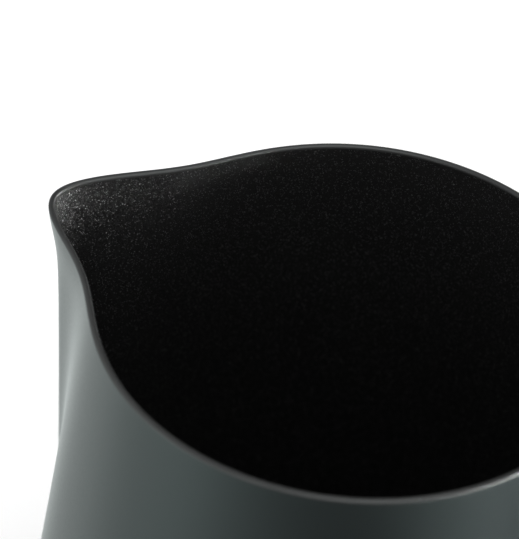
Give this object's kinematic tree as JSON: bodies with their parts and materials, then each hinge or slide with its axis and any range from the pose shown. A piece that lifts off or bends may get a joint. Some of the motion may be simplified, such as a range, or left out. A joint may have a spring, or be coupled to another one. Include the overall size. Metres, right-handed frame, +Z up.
{
  "type": "milk frothing pitcher",
  "caption": "Open steel jug for steaming milk: a dark-coated body that narrows to a round mouth, with a drawn pouring spout and a welded hollow handle.",
  "frame": {"origin": "centre of the foot ring's underside, on the axis of the round mouth", "axes": "+Z up through the mouth, -X towards the spout, +X towards the handle, the XZ plane is the mirror plane"},
  "size_m": [0.1345, 0.0988, 0.105],
  "materials": {
    "body_coating": "matt charcoal powder coat outside, dark non-stick coat inside",
    "handle_coating": "matt charcoal powder coat",
    "weld_coating": "matt charcoal powder coat over a weld"
  },
  "bodies": {
    "root": {"body_shell": "body_coating", "handle_outer_shell": "handle_coating", "handle_inner_shell": "handle_coating", "upper_weld_bead": "weld_coating", "lower_weld_bead": "weld_coating"}
  },
  "joints": []
}
